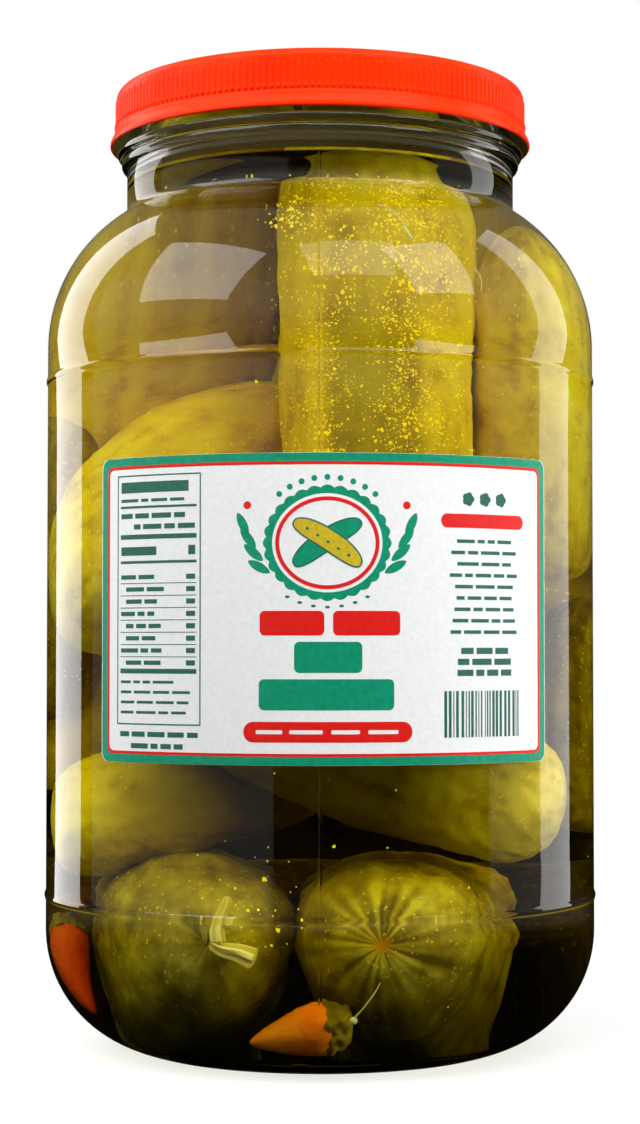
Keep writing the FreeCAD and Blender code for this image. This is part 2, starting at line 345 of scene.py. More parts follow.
def seam_angles(count, seam_count=14, width=1.2):
    """Even angles round the jar, with more of them at the front and back mould seams."""
    even = np.linspace(0, 360, count, endpoint=False)
    fine = np.linspace(-width, width, seam_count)
    angles = np.r_[even, 270 + fine, 90 + fine]
    return np.radians(np.unique(np.round(angles, 4)))


def glass_jar():
    """Radius = outline + seam ridge outside, or + slow waves inside, faded out at the poles."""
    outer, inner = glass_outline()
    angles = seam_angles(300)
    outline = join_outline(outer, inner)
    points = turn_outline(outline, angles)
    away = np.degrees(np.angle(np.exp(1j * 2 * (angles - math.pi / 2)))) / 2
    ridge = 0.10 * MM * np.exp(-(away / 0.22) ** 2)
    z = outline[:, 1:]
    is_outer = (np.arange(len(outline)) < len(outer))[:, None]
    waves = 0.16 * MM * (np.sin(3 * angles + 40 * z) + 0.6 * np.sin(5 * angles - 63 * z + 1.0))
    ease = np.clip(outline[:, :1] / (30 * MM), 0, 1)
    in_neck = z > NECK_FOOT_Z
    growth = np.where(is_outer, ridge[None, :] * (z < RIM_Z - 12 * MM), waves * ~in_neck)
    radius = np.maximum(outline[:, :1], 1e-6)
    grown = np.minimum(radius + ease * growth, outline[:, 0].max())
    points[..., :2] *= (grown / radius)[..., None]
    made = round_object("jar_glass_clear", points)
    print("glass:", len(made.data.polygons), "faces")
    return piece(made, GLASS, "jar_glass")


glass_jar()

# %% [markdown]
# ## The brine
# The brine is vinegar, salt and colour leached from dill and turmeric. It swallows blue at once
# and green slowly, so what lies deep turns from yellow to brown. That is what an absorbing
# volume does. The liquid reaches a hair into the glass, so no layer of air shows between them.

# %% Brine material and body
# Water-like liquid, absorbing blue strongly and green a little.
BRINE = clear_material("pickle_brine", "#fffbe6", 1.34, "#fffdf0",
                       Color=(0.97, 0.945, 0.10, 1), Density=90.0)
BITE = 0.35 * MM


def brine_body():
    """The glass's inner outline moved out by a hair, closed by a level top with a meniscus."""
    wall = WALL - BITE
    side = join_outline(heel_outline(wall, FLOOR_Z - BITE),
                        shoulder_outline(wall))
    rise = 1.0 * MM
    neck = NECK_R - wall
    edge = np.linspace(0, 1, 7)
    meniscus = np.c_[neck - 4 * MM * edge, BRINE_Z - rise + rise * (1 - edge) ** 2]
    top = straight((neck - 4 * MM, BRINE_Z - rise), (0, BRINE_Z - rise), 4)
    floor = dome(side[0, 0], FLOOR_Z - BITE, PUSH_UP)
    outline = join_outline(floor, side, meniscus, top)
    points = turn_outline(outline, np.radians(np.linspace(0, 360, 256, endpoint=False)))
    made = round_object("brine_liquid", points)
    return piece(made, BRINE, "brine")


brine_body()

# %% [markdown]
# ## Bodies carried along a path
# Pickles, peppers, stems and strands are all a round section carried along a smooth path. A
# stretched sphere would be quicker, but its ends pinch and it can't bend. Here the path gives the
# bend, a profile gives the radius along it, and a section swing makes it three-sided or ribbed.

# %% Path and section helpers
def smooth_path(stations, count):
    """A Catmull-Rom curve through the stations: points lie densest at both ends, where the
    share of the length is (1 - cos) / 2 of an even count."""
    stations = np.asarray(stations, dtype=float) * MM
    first = 2 * stations[0] - stations[1]
    last = 2 * stations[-1] - stations[-2]
    p = np.vstack([first, stations, last])
    t = np.linspace(0, 1, 24, endpoint=False)[None, :, None]
    a, b, c, d = (p[k:len(p) - 3 + k][:, None, :] for k in range(4))
    spans = 0.5 * (2 * b + (c - a) * t + (2 * a - 5 * b + 4 * c - d) * t ** 2
                   + (3 * b - a - 3 * c + d) * t ** 3)
    dense = np.vstack([spans.reshape(-1, 3), stations[-1:]])
    travel = np.r_[0, np.cumsum(np.linalg.norm(np.diff(dense, axis=0), axis=1))]
    share = 0.5 - 0.5 * np.cos(math.pi * np.linspace(0, 1, count))
    wanted = travel[-1] * share
    return np.stack([np.interp(wanted, travel, dense[:, k]) for k in range(3)], -1), share


def path_frames(path):
    """Unit tangents and two steady side directions, each square to the tangent."""
    tangent = unit(np.gradient(path, axis=0))
    guide = np.array([0.31, 0.12, 0.94])
    if abs(tangent[len(path) // 2] @ guide) > 0.8:
        guide = np.array([0.2, 0.95, 0.1])
    side = unit(np.cross(tangent, guide))
    return tangent, side, np.cross(tangent, side)


def blunt_end(distance, reach):
    """1 inside, and a blunt quarter ellipse down to 0 over the last `reach` of the length."""
    left = 1 - np.clip(distance / reach, 0, 1)
    return np.sqrt(np.clip(1 - left ** 2.1, 0, 1))


def carried_body(stations, radius, profile, swing, rows=150, columns=120):
    """Point = path + radius * profile * (1 + swing) * (cos a * side + sin a * up). `profile`
    takes (share, length); `swing` takes (share, angle) and is a part of the radius."""
    path, share = smooth_path(stations, rows)
    tangent, side, up = path_frames(path)
    length = np.linalg.norm(np.diff(path, axis=0), axis=1).sum()
    angle = turns(columns)[None, :]
    wide = radius * MM * profile(share, length)
    skin = wide[:, None] * (1 + swing(share[:, None], angle))
    ring = np.cos(angle)[..., None] * side[:, None, :] + np.sin(angle)[..., None] * up[:, None, :]
    points = path[:, None, :] + skin[..., None] * ring
    along = np.hypot(np.diff(share) * length, np.diff(wide))
    from_tip = np.r_[0, np.cumsum(along)][:, None] + 0 * angle
    return points, ring, wide[:, None] + 0 * angle, from_tip, share[:, None] + 0 * angle, tangent


def crinkle(points, length, seed, waves=26):
    """Soft uneven noise, about -1 to 1: sine waves of like length in random directions."""
    rng = np.random.default_rng(seed)
    way = unit(rng.normal(size=(waves, 3)))
    way *= 2 * math.pi / length * rng.uniform(0.7, 1.5, (waves, 1))
    phase = rng.uniform(0, 2 * math.pi, waves)
    return np.sin(points @ way.T + phase).sum(-1) / math.sqrt(waves)


def store_value(made, name, values):
    """A number on each point, for the material to read by name."""
    layer = made.data.attributes.new(name, "FLOAT", "POINT")
    layer.data.foreach_set("value", np.asarray(values, dtype=np.float32).ravel())


# %% [markdown]
# ## The pickles
# A pickling cucumber is a bent, slightly three-sided sausage with blunt ends. Its skin has warts
# a few millimetres apart, fine wrinkles from the cure and shallow furrows from end to end.

# %% Pickle shape
def warts(points, share, seed, count=110):
    """Sum of round bumps round random points of the skin: exp(-(distance / width)^2)."""
    rng = np.random.default_rng(seed)
    rows, columns = share.shape
    row = (rows * (0.5 - 0.5 * np.cos(math.pi * rng.uniform(0.08, 0.92, count)))).astype(int)
    middles = points[np.clip(row, 0, rows - 1), rng.integers(0, columns, count)]
    total = np.zeros(share.shape)
    for middle, size in zip(middles, rng.uniform(0.6, 1.5, count)):
        total += size * np.exp(-((points - middle) ** 2).sum(-1) / (1.5 * MM * size) ** 2)
    return total


def pickle_mesh(name, stations, radius, seed, skin, reach=0.95, pit=0.0, rows=150, columns=116):
    """Blunt profile, three-sided swing and ten furrows, then warts and wrinkles along the
    radius. A pit pushes the first tip in by exp(-(radius / width)^2)."""
    rng = np.random.default_rng(seed)
    turn = rng.uniform(0, 2 * math.pi, 6)

    def profile(share, length):
        ends = blunt_end(share * length, reach * radius * MM) \
            * blunt_end((1 - share) * length, 1.1 * radius * MM)
        return ends * (1 - 0.10 * np.abs(2 * share - 1) ** 2 + 0.03 * np.sin(7 * share + turn[3]))

    def swing(share, angle):
        return (0.035 * np.cos(3 * angle + turn[0] + 0.7 * share)
                + 0.02 * np.cos(2 * angle + turn[1]) + 0.010 * np.cos(10 * angle + turn[2])
                + 0.03 * np.sin(8 * share + turn[4]) * np.cos(angle + turn[5]))

    points, ring, wide, from_tip, share, tangent = carried_body(
        stations, radius, profile, swing, rows, columns)
    cover = np.clip(wide / (radius * MM) * 1.4, 0, 1)
    lift = 0.42 * MM * warts(points, share, seed + 7) + 0.16 * MM * crinkle(points, 5 * MM, seed)
    lift += 0.5 * MM * crinkle(points, 26 * MM, seed + 1)
    points = points + (lift * cover)[..., None] * ring
    hollow = pit * MM * np.exp(-(wide / (0.16 * radius * MM)) ** 2) * (share < 0.5)
    points = points + hollow[..., None] * tangent[:, None, :]
    angle = turns(columns)[None, :]
    streak = sum(np.cos(k * angle + rng.uniform(0, 6.28) + rng.normal() * 14 * share)
                 * (0.6 + 0.4 * np.sin(rng.uniform(5, 14) * share + rng.uniform(0, 6.28)))
                 for k in (5, 8, 11, 14, 19, 23)) / 3.2
    made = round_object(name, points)
    store_value(made, "streak", streak)
    store_value(made, "from_tip", from_tip / MM)
    piece(made, skin)
    return points, ring


# %% [markdown]
# ### Pickle skin
# Cured cucumber skin is waxy and slightly see-through: light enters a millimetre or two, so it
# gets subsurface light. Brine bends light nearly as much as wax does, so a sunk skin has
# next to no gloss. Its colour runs from straw to golden olive in soft blotches, with pale
# streaks that run from end to end and small light specks where the spines were. On an end that
# faces out, the streaks meet in a star round the scar of the flower.

# %% Pickle material
# The stripe of painted shade down the front of the upright pickle is centred this far right of the
# axis.
STRIPE_X = 12.5 * MM


def cured_skin(name, light, middle, deep, speck, star=0.0, murk=1.0, browned=1.0):
    """Blotches at 12 mm, streaks along the fruit, specks under a millimetre, low wax gloss.
    `star` makes the streaks strong within 24 mm of the tip, round an orange scar. Below a height
    of 44 mm the skin is painted nearly black: painted shade for the foot of the jar, where little
    light gets. `murk` is how dark the painted shade gets 54 mm from the tip, where the pickle
    leaves the glass, and `browned` how dark a stripe of painted shade about 20 mm wide gets, down
    the front of the upright pickle, where the side lamps leave its middle in shade."""
    material, tree = new_material(name)
    coords = add_node(tree, "TexCoord").outputs["Object"]
    streak = add_node(tree, "Attribute", {"attribute_name": "streak"}).outputs["Fac"]
    tip = add_node(tree, "Attribute", {"attribute_name": "from_tip"}).outputs["Fac"]
    blotch = add_node(tree, "TexNoise", Vector=coords, Scale=75.0, Detail=5.0,
                      Roughness=0.62)
    near = fade(tree, tip, 10.0, 24.0, 0.10 + 0.30 * star, 0.10)
    drawn = compute(tree, "MULTIPLY_ADD", streak, near, blotch)
    base = ramp(tree, drawn, [(0.30, deep), (0.50, middle), (0.70, light)])
    dots = add_node(tree, "TexVoronoi", Vector=coords, Scale=620.0)
    dot = fade(tree, dots.outputs["Distance"], 0.12, 0.30, 1.0, 0.0)
    some = fade(tree, dots.outputs["Color"], 0.50, 0.62)
    spotted = add_node(tree, "Mix", {"data_type": "RGBA"}, _0=compute(tree, "MULTIPLY", dot, some),
                       _6=base, _7=linear(speck))
    scar = fade(tree, tip, 0.8, 3.2, min(1.0, 1.3 * star), 0.0)
    scarred = add_node(tree, "Mix", {"data_type": "RGBA"}, _0=scar, _6=spotted.outputs[2],
                       _7=linear("#ee9a22"))
    place = add_node(tree, "SeparateXYZ", Vector=coords)
    # Painted shade: the skin darkens to near black below 44 mm towards the foot of the jar, and
    # further from the tip, where the pickle lies further in from the glass.
    depth = fade(tree, place.outputs["Z"], 10 * MM, 44 * MM, 0.05, 1.0)
    inward = fade(tree, tip, 28.0, 54.0, 1.0, murk)
    shift = compute(tree, "SUBTRACT", place.outputs["X"], STRIPE_X)
    # Painted shade: a stripe about 20 mm wide down the front of the upright pickle, full below 190
    # mm and gone by 226 mm, where the side lamps leave its middle in shade.
    upper = fade(tree, place.outputs["Z"], 190 * MM, 226 * MM, browned, 1.0)
    stripe = fade(tree, compute(tree, "ABSOLUTE", shift), 8 * MM, 15 * MM, upper, 1.0,
                  "SMOOTHSTEP")
    deeper = compute(tree, "MULTIPLY", depth, inward)
    colour = add_node(tree, "Mix", {"data_type": "RGBA", "blend_type": "MULTIPLY"}, _0=1.0,
                      _6=scarred.outputs[2], _7=compute(tree, "MULTIPLY", deeper, stripe))
    grain = add_node(tree, "TexNoise", Vector=coords, Scale=850.0, Detail=2.0)
    bump = add_node(tree, "Bump", Height=grain, Strength=0.4, Distance=0.0004)
    shader = add_node(tree, "BsdfPrincipled", Base_Color=colour.outputs[2], Normal=bump,
                      Roughness=0.5, IOR=1.36, Specular_IOR_Level=0.12, Subsurface_Weight=0.25,
                      Subsurface_Radius=(1.0, 0.7, 0.15), Subsurface_Scale=0.002)
    add_node(tree, "OutputMaterial", Surface=shader)
    return material


GOLD = ("#fff05a", "#f8e040", "#cbae26", "#fffb8c")
GOLDEN_SKIN = cured_skin("cured_skin_golden", *GOLD)
OLIVE_SKIN = cured_skin("cured_skin_olive", "#d2c456", "#ad9b34", "#74661c", "#ece27a")
# Golden skin with a stripe of painted shade down its front.
BROWNED_SKIN = cured_skin("cured_skin_front_shaded", *GOLD, browned=0.55)
# A dark copy of the skin: painted shade for the lowest pickle, at the back of the foot.
DEEP_SKIN = cured_skin("cured_skin_bottom_shaded", "#6a5c1c", "#4e4214", "#332a0c", "#8a7c34")
# Golden skin with painted shade that darkens it away from the tip.
MURKY_SKIN = cured_skin("cured_skin_inward_shaded", *GOLD, murk=0.25)
STAR_SKIN = cured_skin("cured_skin_star", "#e2d25c", "#b29d32", "#70601a", "#f2e67c", star=0.5)

# %% Pickles in their places
# Each row gives points along the middle line and the radius, both in millimetres, and a seed.
PICKLES = {
    "pickle_tall": ([(11, -17, 242.5), (12, -22, 216), (13, -28, 170), (14, -30, 125),
                     (14, -30, 96)], 22.5, 11, BROWNED_SKIN),
    "pickle_curved": ([(-60, -16, 112), (-47, -18, 134), (-32, -12, 152), (-14, 8, 165),
                       (2, 30, 170)], 23.0, 23, GOLDEN_SKIN),
    "pickle_behind_right": ([(46, -8, 218), (51, -11, 196), (52, -8, 165), (50, 2, 130)],
                            19.0, 31, GOLDEN_SKIN),
    "pickle_right_low": ([(57, 14, 126), (58, 14, 104), (57, 16, 80), (53, 18, 58)],
                         15.5, 37, OLIVE_SKIN),
    "pickle_left_edge": ([(-56, 20, 90), (-57, 18, 120), (-55, 20, 155), (-50, 24, 180)],
                         15.5, 47, OLIVE_SKIN),
    "pickle_under_left": ([(-67, -10, 63), (-52, -19, 65), (-30, -16, 72), (0, 10, 80)],
                          16.8, 53, MURKY_SKIN),
    "pickle_under_right": ([(60, -25, 70), (42, -36, 73), (10, -36, 85), (-24, -31, 101),
                            (-47, -20, 110)], 18.8, 61, MURKY_SKIN),
    "pickle_behind_left": ([(-32, 30, 66), (-38, 32, 110), (-36, 30, 160), (-25, 13, 241)],
                           24.0, 97, GOLDEN_SKIN),
    "pickle_behind_back": ([(20, 46, 62), (22, 47, 110), (20, 44, 165), (14, 28, 234)],
                           22.0, 101, OLIVE_SKIN),
    "pickle_low_back": ([(-54, 16, 32), (-38, 38, 33), (0, 53, 34), (38, 38, 33), (54, 16, 32)],
                        15.5, 113, DEEP_SKIN),
}
for name, (stations, radius, seed, skin) in PICKLES.items():
    tall = name == "pickle_tall"
    made_points, made_out = pickle_mesh(name, stations, radius, seed, skin,
                                        reach=0.55 if tall else 0.95)
    if tall:
        TALL_SKIN, TALL_OUT = made_points, made_out
pickle_mesh("pickle_end_stem", [(-27.5, -66.5, 36), (-28, -45, 34), (-28, -10, 33), (-24, 22, 33)],
            23.0, 71, OLIVE_SKIN, reach=1.25, pit=1.2)
pickle_mesh("pickle_end_star", [(15, -69, 36), (17, -48, 35), (18, -10, 33), (18, 24, 33)],
            23.0, 83, STAR_SKIN, reach=1.15, pit=1.8)
print("pickles:", len(PICKLES) + 2)

# %% [markdown]
# ## Peppers
# Two small hot peppers lie at the bottom, one orange and one red. Each is a smooth teardrop with
# a wet gloss, and a dry, wrinkled cap of olive brown where the stalk was.

# %% Pepper flesh and cap
def wet_flesh(name, light, deep, roughness):
    """Soft 15 mm blotches between two colours, light carried under the skin, wet gloss."""
    return mottled(name, 65.0, [(0.35, deep), (0.65, light)], roughness, ior=1.38, detail=4.0,
                   Subsurface_Weight=0.3, Subsurface_Radius=(1.0, 0.4, 0.1),
                   Subsurface_Scale=0.003)


ORANGE_FLESH = wet_flesh("pepper_flesh_orange", "#ff9a24", "#f07410", 0.35)
RED_FLESH = wet_flesh("pepper_flesh_red", "#f4641c", "#d83c10", 0.35)
DRY_CAP = wet_flesh("pepper_cap_dry", "#a89038", "#5c4a1c", 0.7)
DRY_STALK = wet_flesh("withered_stalk", "#e4d66a", "#b8a23c", 0.6)


def stem_profile(first, last, base, growth):
    """Blunt over `first` and `last` millimetres at the ends, base + growth * share between."""
    return lambda s, length: (blunt_end(s * length, first * MM) * (base + growth * s)
                              * blunt_end((1 - s) * length, last * MM))


def carried_piece(name, material, stations, radius, profile, swing, rows, columns, rough=0.0):
    """A carried body with wrinkles of `rough` millimetres, made into one piece."""
    points, ring, wide, _, _, _ = carried_body(stations, radius, profile, swing, rows, columns)
    points = points + (rough * MM * crinkle(points, 3.2 * MM, 5)
                       * np.clip(wide / (radius * MM), 0, 1))[..., None] * ring
    made = round_object(name, points)
    return piece(made, material)


def pepper(name, stations, radius, flesh):
    """Body radius = share^0.6, closed by (1 - share^10)^(1/2). The cap follows the last line."""
    carried_piece(name + "_body", flesh, stations, radius,
                  lambda s, length: s ** 0.6 * np.sqrt(np.clip(1 - s ** 10, 0, 1)),
                  lambda s, a: 0.03 * np.cos(2 * a + 3 * s) + 0.02 * np.cos(3 * a), 70, 64, 0.12)
    last = np.asarray(stations[-1], dtype=float)
    way = unit(last - np.asarray(stations[-2], dtype=float))
    cap = [last - 3.4 * way, last + 0.5 * way, last + 4.5 * way + (0, 0, -0.6)]
    carried_piece(name + "_cap", DRY_CAP, cap, radius * 0.86,
                  lambda s, length: np.sqrt(np.clip(1 - (2 * s - 1) ** 6, 0, 1))
                  * (1 - 0.35 * s),
                  lambda s, a: 0.10 * np.cos(5 * a + 2 * s) + 0.05 * np.cos(9 * a), 40, 60, 0.7)


pepper("pepper_front", [(-17.5, -60, 11.5), (-10, -60, 13.2), (-2, -59.5, 15), (3.5, -59, 15.6)],
       8.0, ORANGE_FLESH)
pepper("pepper_left", [(-56, -27, 16), (-59, -22, 22), (-61, -17, 29), (-61, -13, 35)],
       9.5, RED_FLESH)

# %% [markdown]
# ## Withered stalk
# The left pickle keeps the dry stalk it hung from: a ribbed stem that bends and fans out flat.

# %% Stalk on the pickle's end
def stalk_swing(s, a):
    """Five deep ribs and nine that twist along the stem."""
    return 0.22 * np.cos(5 * a) + 0.10 * np.cos(9 * a + 4 * s)


carried_piece("stalk_stem", DRY_STALK,
              [(-22.5, -66.6, 47.5), (-24, -67.6, 44), (-25.5, -68.2, 40), (-25.2, -68.4, 36)],
              1.5, stem_profile(1.2, 1.2, 0.7, 0.6), stalk_swing, 50, 40)
carried_piece("stalk_fan", DRY_STALK,
              [(-27.6, -67.8, 36.5), (-24, -68.6, 34.8), (-20, -69.4, 34), (-16, -70.2, 32.2)],
              2.3, stem_profile(2, 1, 0.55, 0.6), stalk_swing, 60, 48)
for name, material, stations, radius in [
        ("stalk_sepal", DRY_STALK,
         [(-25.2, -68.2, 41.5), (-22.6, -68.8, 41.2), (-20.6, -69.2, 42.4)], 0.8),
        ("stalk_husk", DRY_CAP, [(-29.6, -67, 41), (-28.4, -67.8, 37.8), (-28.8, -67.8, 35.2)],
         0.9)]:
    carried_piece(name, material, stations, radius,
                  lambda s, length: np.sin(math.pi * np.clip(s, 0.001, 0.999)) ** 0.6,
                  stalk_swing, 30, 24)

# %% [markdown]
# ## Spice flakes, bubbles and dill threads
# Gold flakes of spice cling to the upright pickle and float near the glass. Thousands of them
# are one joined mesh: a flat six-sided grain is copied as an array, sized, turned and moved.

# %% Where the inner wall is
WALL_LINE = join_outline(heel_outline(WALL, FLOOR_Z), shoulder_outline(WALL))
WALL_LINE = WALL_LINE[np.argsort(WALL_LINE[:, 1])]


def near_wall(angle, height, inset):
    """Points inside the glass: the wall's radius at that height less the inset."""
    radius = np.interp(height, WALL_LINE[:, 1], WALL_LINE[:, 0]) - inset
    return around(radius, angle, height)


def joined_grains(name, middles, outward, sizes, grain, faces, material, seed):
    """Point = middle + size * (grain turned so that its third axis is the outward one)."""
    rng = np.random.default_rng(seed)
    spin = rng.normal(size=middles.shape)
    third = unit(outward + 0.45 * rng.normal(size=outward.shape))
    first = unit(np.cross(spin, third))
    second = np.cross(third, first)
    turned = np.einsum("gk,nkc->ngc", grain, np.stack([first, second, third], 1))
    points = middles[:, None, :] + sizes[:, None, None] * turned
    shift = np.arange(len(middles))[:, None, None] * len(grain)
    every = (np.asarray(faces)[None] + shift).reshape(-1, np.shape(faces)[1])
    made = mesh_object(name, points.reshape(-1, 3), every, smooth=False)
    print(name + ":", len(middles), "grains,", len(every), "faces")
    return piece(made, material)


def flat_grain():
    """Six uneven corners in a flat ring, and one point above and one below."""
    turn = np.radians([0, 62, 118, 184, 236, 301])
    reach = np.array([1.0, 0.72, 0.9, 0.8, 1.05, 0.66])
    ring = np.c_[reach * np.cos(turn), reach * np.sin(turn), np.zeros(6)]
    nxt = (np.arange(6) + 1) % 6
    above = np.c_[np.arange(6), nxt, np.full(6, 6)]
    below = np.c_[nxt, np.arange(6), np.full(6, 7)]
    return np.vstack([ring, (0, 0, 0.35), (0, 0, -0.35)]), np.vstack([above, below])


# %% Flake material
# Dry turmeric-yellow flake: rough, each one a little lighter or darker, with a painted glow.
FLAKE = mottled("spice_flake_painted_glow", 420.0, [(0.35, "#fae02e"), (0.65, "#fff67a")], 0.3,
                Emission_Color=linear("#f6de08"), Emission_Strength=0.55)

# Columns where flakes gather: middle and width in millimetres, and how thickly.
FLAKE_COLUMNS = [(20, 5, 1.0), (2, 5, 0.8), (29, 4, 0.5)]


def flakes_on_skin(points, outward, count, low, high, seed):
    """Picks skin points between two heights that face the front, thicker in some columns."""
    rng = np.random.default_rng(seed)
    flat, out = points.reshape(-1, 3), outward.reshape(-1, 3)
    facing = np.clip(-out[:, 1], 0, 1)
    column = sum((share * np.exp(-((flat[:, 0] / MM - middle) / wide) ** 2)
                  for middle, wide, share in FLAKE_COLUMNS), 0.25)
    clump = np.clip(0.9 + 0.5 * crinkle(flat, 9 * MM, seed + 3), 0.05, 3)
    spacing = np.abs(np.gradient(points[..., 2], axis=0)).ravel()
    weight = facing * column * clump * spacing * (flat[:, 2] > low * MM) * (flat[:, 2] < high * MM)
    picked = rng.choice(len(flat), count, p=weight / weight.sum())
    away = rng.uniform(0.3, 3.0, (count, 1)) * MM
    return flat[picked] + away * out[picked] + rng.normal(0, 0.4 * MM, (count, 3)), out[picked]


GRAIN, GRAIN_FACES = flat_grain()
TALL_FLAKES, TALL_WAY = flakes_on_skin(TALL_SKIN, TALL_OUT, 5200, 140, 236, 7)
FLAKE_SIZES = np.random.default_rng(8).gamma(4.0, 0.058, len(TALL_FLAKES)) * MM
joined_grains("flakes_on_tall", TALL_FLAKES, TALL_WAY, FLAKE_SIZES, GRAIN, GRAIN_FACES, FLAKE, 9)


def loose_flakes(count, seed):
    """Flakes that float just inside the front glass, in three drifts and thinly elsewhere."""
    rng = np.random.default_rng(seed)
    drift = rng.choice(4, count, p=[0.34, 0.22, 0.16, 0.28])
    middle = np.radians(np.array([-97.0, -75.0, -102.0, -92.0]))[drift]
    level = np.array([221.0, 216.0, 42.0, 150.0])[drift] * MM
    angle = middle + rng.normal(0, 1, count) * np.radians([2.6, 4.0, 5.0, 34.0])[drift]
    height = level + rng.normal(0, 1, count) * np.array([3.0, 5.0, 7.0, 60.0])[drift] * MM
    height = np.clip(height, 20 * MM, 236 * MM)
    places = near_wall(angle, height, rng.uniform(1.0, 6.0, count) * MM)
    return places, near_wall(angle, height, 0) - near_wall(angle, height, 9 * MM)


LOOSE, LOOSE_WAY = loose_flakes(260, 12)
LOOSE_SIZES = np.random.default_rng(13).gamma(4.0, 0.075, len(LOOSE)) * MM
joined_grains("flakes_loose", LOOSE, unit(LOOSE_WAY), LOOSE_SIZES, GRAIN, GRAIN_FACES, FLAKE, 14)

# %% Bubbles
def pale_bubble():
    """A bubble on the glass is a pale pearl: painted highlight, light facing the view, dim at the
    rim.
    """
    material, tree = new_material("bubble_painted_highlight")
    edge = add_node(tree, "LayerWeight", Blend=0.35)
    # Painted highlight: the colour is pale where the surface faces the view and darker at its rim.
    colour = ramp(tree, edge.outputs["Facing"], [(0.1, "#fdfdf4"), (0.8, "#b9b48c")])
    shader = add_node(tree, "BsdfPrincipled", Base_Color=colour, Roughness=0.15)
    add_node(tree, "OutputMaterial", Surface=shader)
    return material


BUBBLE = pale_bubble()


def ball_grain(rows=7, columns=8):
    """A small ball: latitude by longitude, poles closed."""
    tilt = np.linspace(-math.pi / 2, math.pi / 2, rows)[:, None]
    turn = turns(columns)[None, :]
    points = around(np.cos(tilt), turn, np.sin(tilt))
    return points.reshape(-1, 3), grid_faces(rows, columns, True)


def bubbles(count, seed):
    """Small ones on the front glass, and a larger one that ends the strand by the pepper."""
    rng = np.random.default_rng(seed)
    angle = np.radians(rng.uniform(-165, -15, count))
    height = rng.uniform(36, 232, count) * MM
    places = near_wall(angle, height, 0.6 * MM)
    sizes = rng.gamma(3.0, 0.065, count) * MM
    places = np.vstack([places, near_wall(np.radians(np.array([-83.0])), np.array([17.5 * MM]),
                                          2.0 * MM)])
    sizes = np.r_[sizes, 1.15 * MM]
    ball, faces = ball_grain()
    wall_r = 70 * MM
    made = joined_grains("bubbles", places, places * (1, 1, 0) / wall_r + 1e-6, sizes, ball,
                         faces, BUBBLE, seed)
    made.data.shade_smooth()


bubbles(70, 21)

# %% Dill threads
# A bleached thread of dill: pale straw, dull, a little see-through.
THREAD = wet_flesh("dill_thread", "#f4f0d2", "#cfc68e", 0.5)


def thread(name, angles, heights, thick, inset):
    """A thin tube close to the inner wall, through points given by angle and height."""
    places = near_wall(np.radians(np.asarray(angles, dtype=float)),
                       np.asarray(heights, dtype=float) * MM, inset * MM) / MM
    carried_piece(name, THREAD, places, thick, stem_profile(1, 1, 1, -0.4),
                  lambda s, a: 0.15 * np.cos(3 * a + 9 * s), 40, 10)


for row in [("thread_shoulder", [-76, -73, -71, -70.4], [224.5, 223.5, 220, 217], 0.26, 1.2),
            ("thread_shoulder_tip", [-71.2, -70.2, -69.6], [219, 216.5, 215.2], 0.5, 1.2),
            ("thread_bubble", [-83, -81, -79, -78], [18.0, 21, 24.5, 27], 0.22, 1.6),
            ("thread_right", [-56, -55, -55.5], [209, 206, 203], 0.22, 1.2)]:
    thread(*row)

# %% [markdown]
# ## The lid
# The screw lid is injection-moulded polypropylene in a strong orange-red, with a soft satin
# gloss. Its grip is a ring of fine ribs, each a raised line that ends in a small round foot.

# %% Lid material
# Moulded polypropylene: even colour, faint flow mottling, satin gloss.
LID_RED = mottled("moulded_polypropylene", 60.0, [(0.3, "#fb2c00"), (0.7, "#ff3400")], 0.34,
                  ior=1.49, Specular_IOR_Level=0.06)
# The grey-brown pressed foam under the lid, stained by brine: dull, finely pored.
LINER = mottled("pressed_foam_liner", 700.0, [(0.3, "#6e6444"), (0.7, "#857a56")], 0.8)

# %% Lid shape
RIBS = 200
LID_WALL_R = 58.0 * MM


def rib_lift(angles, heights, low, high):
    """Each rib is a narrow ridge, exp(-(offset / width)^2) across, flat along with round ends,
    and every other rib ends half a millimetre lower. A small foot swells its lower end."""
    turn = angles * RIBS / (2 * math.pi)
    offset = (turn - np.round(turn)) * 2 * math.pi / RIBS * LID_WALL_R
    across = np.exp(-(offset / (0.24 * MM)) ** 2)[None, :]
    odd = (np.round(turn) % 2)[None, :]
    top = high - 0.7 * MM * odd
    z = heights[:, None]
    rise = np.clip((z - low) / (0.3 * MM), 0, 1)
    fall = np.clip((top - z) / (0.4 * MM), 0, 1)
    foot = np.exp(-((z - low - 0.5 * MM) / (0.45 * MM)) ** 2)
    wide = np.exp(-(offset / (0.42 * MM)) ** 2)[None, :]
    return 0.28 * MM * across * np.sqrt(rise * fall) + 0.32 * MM * wide * foot


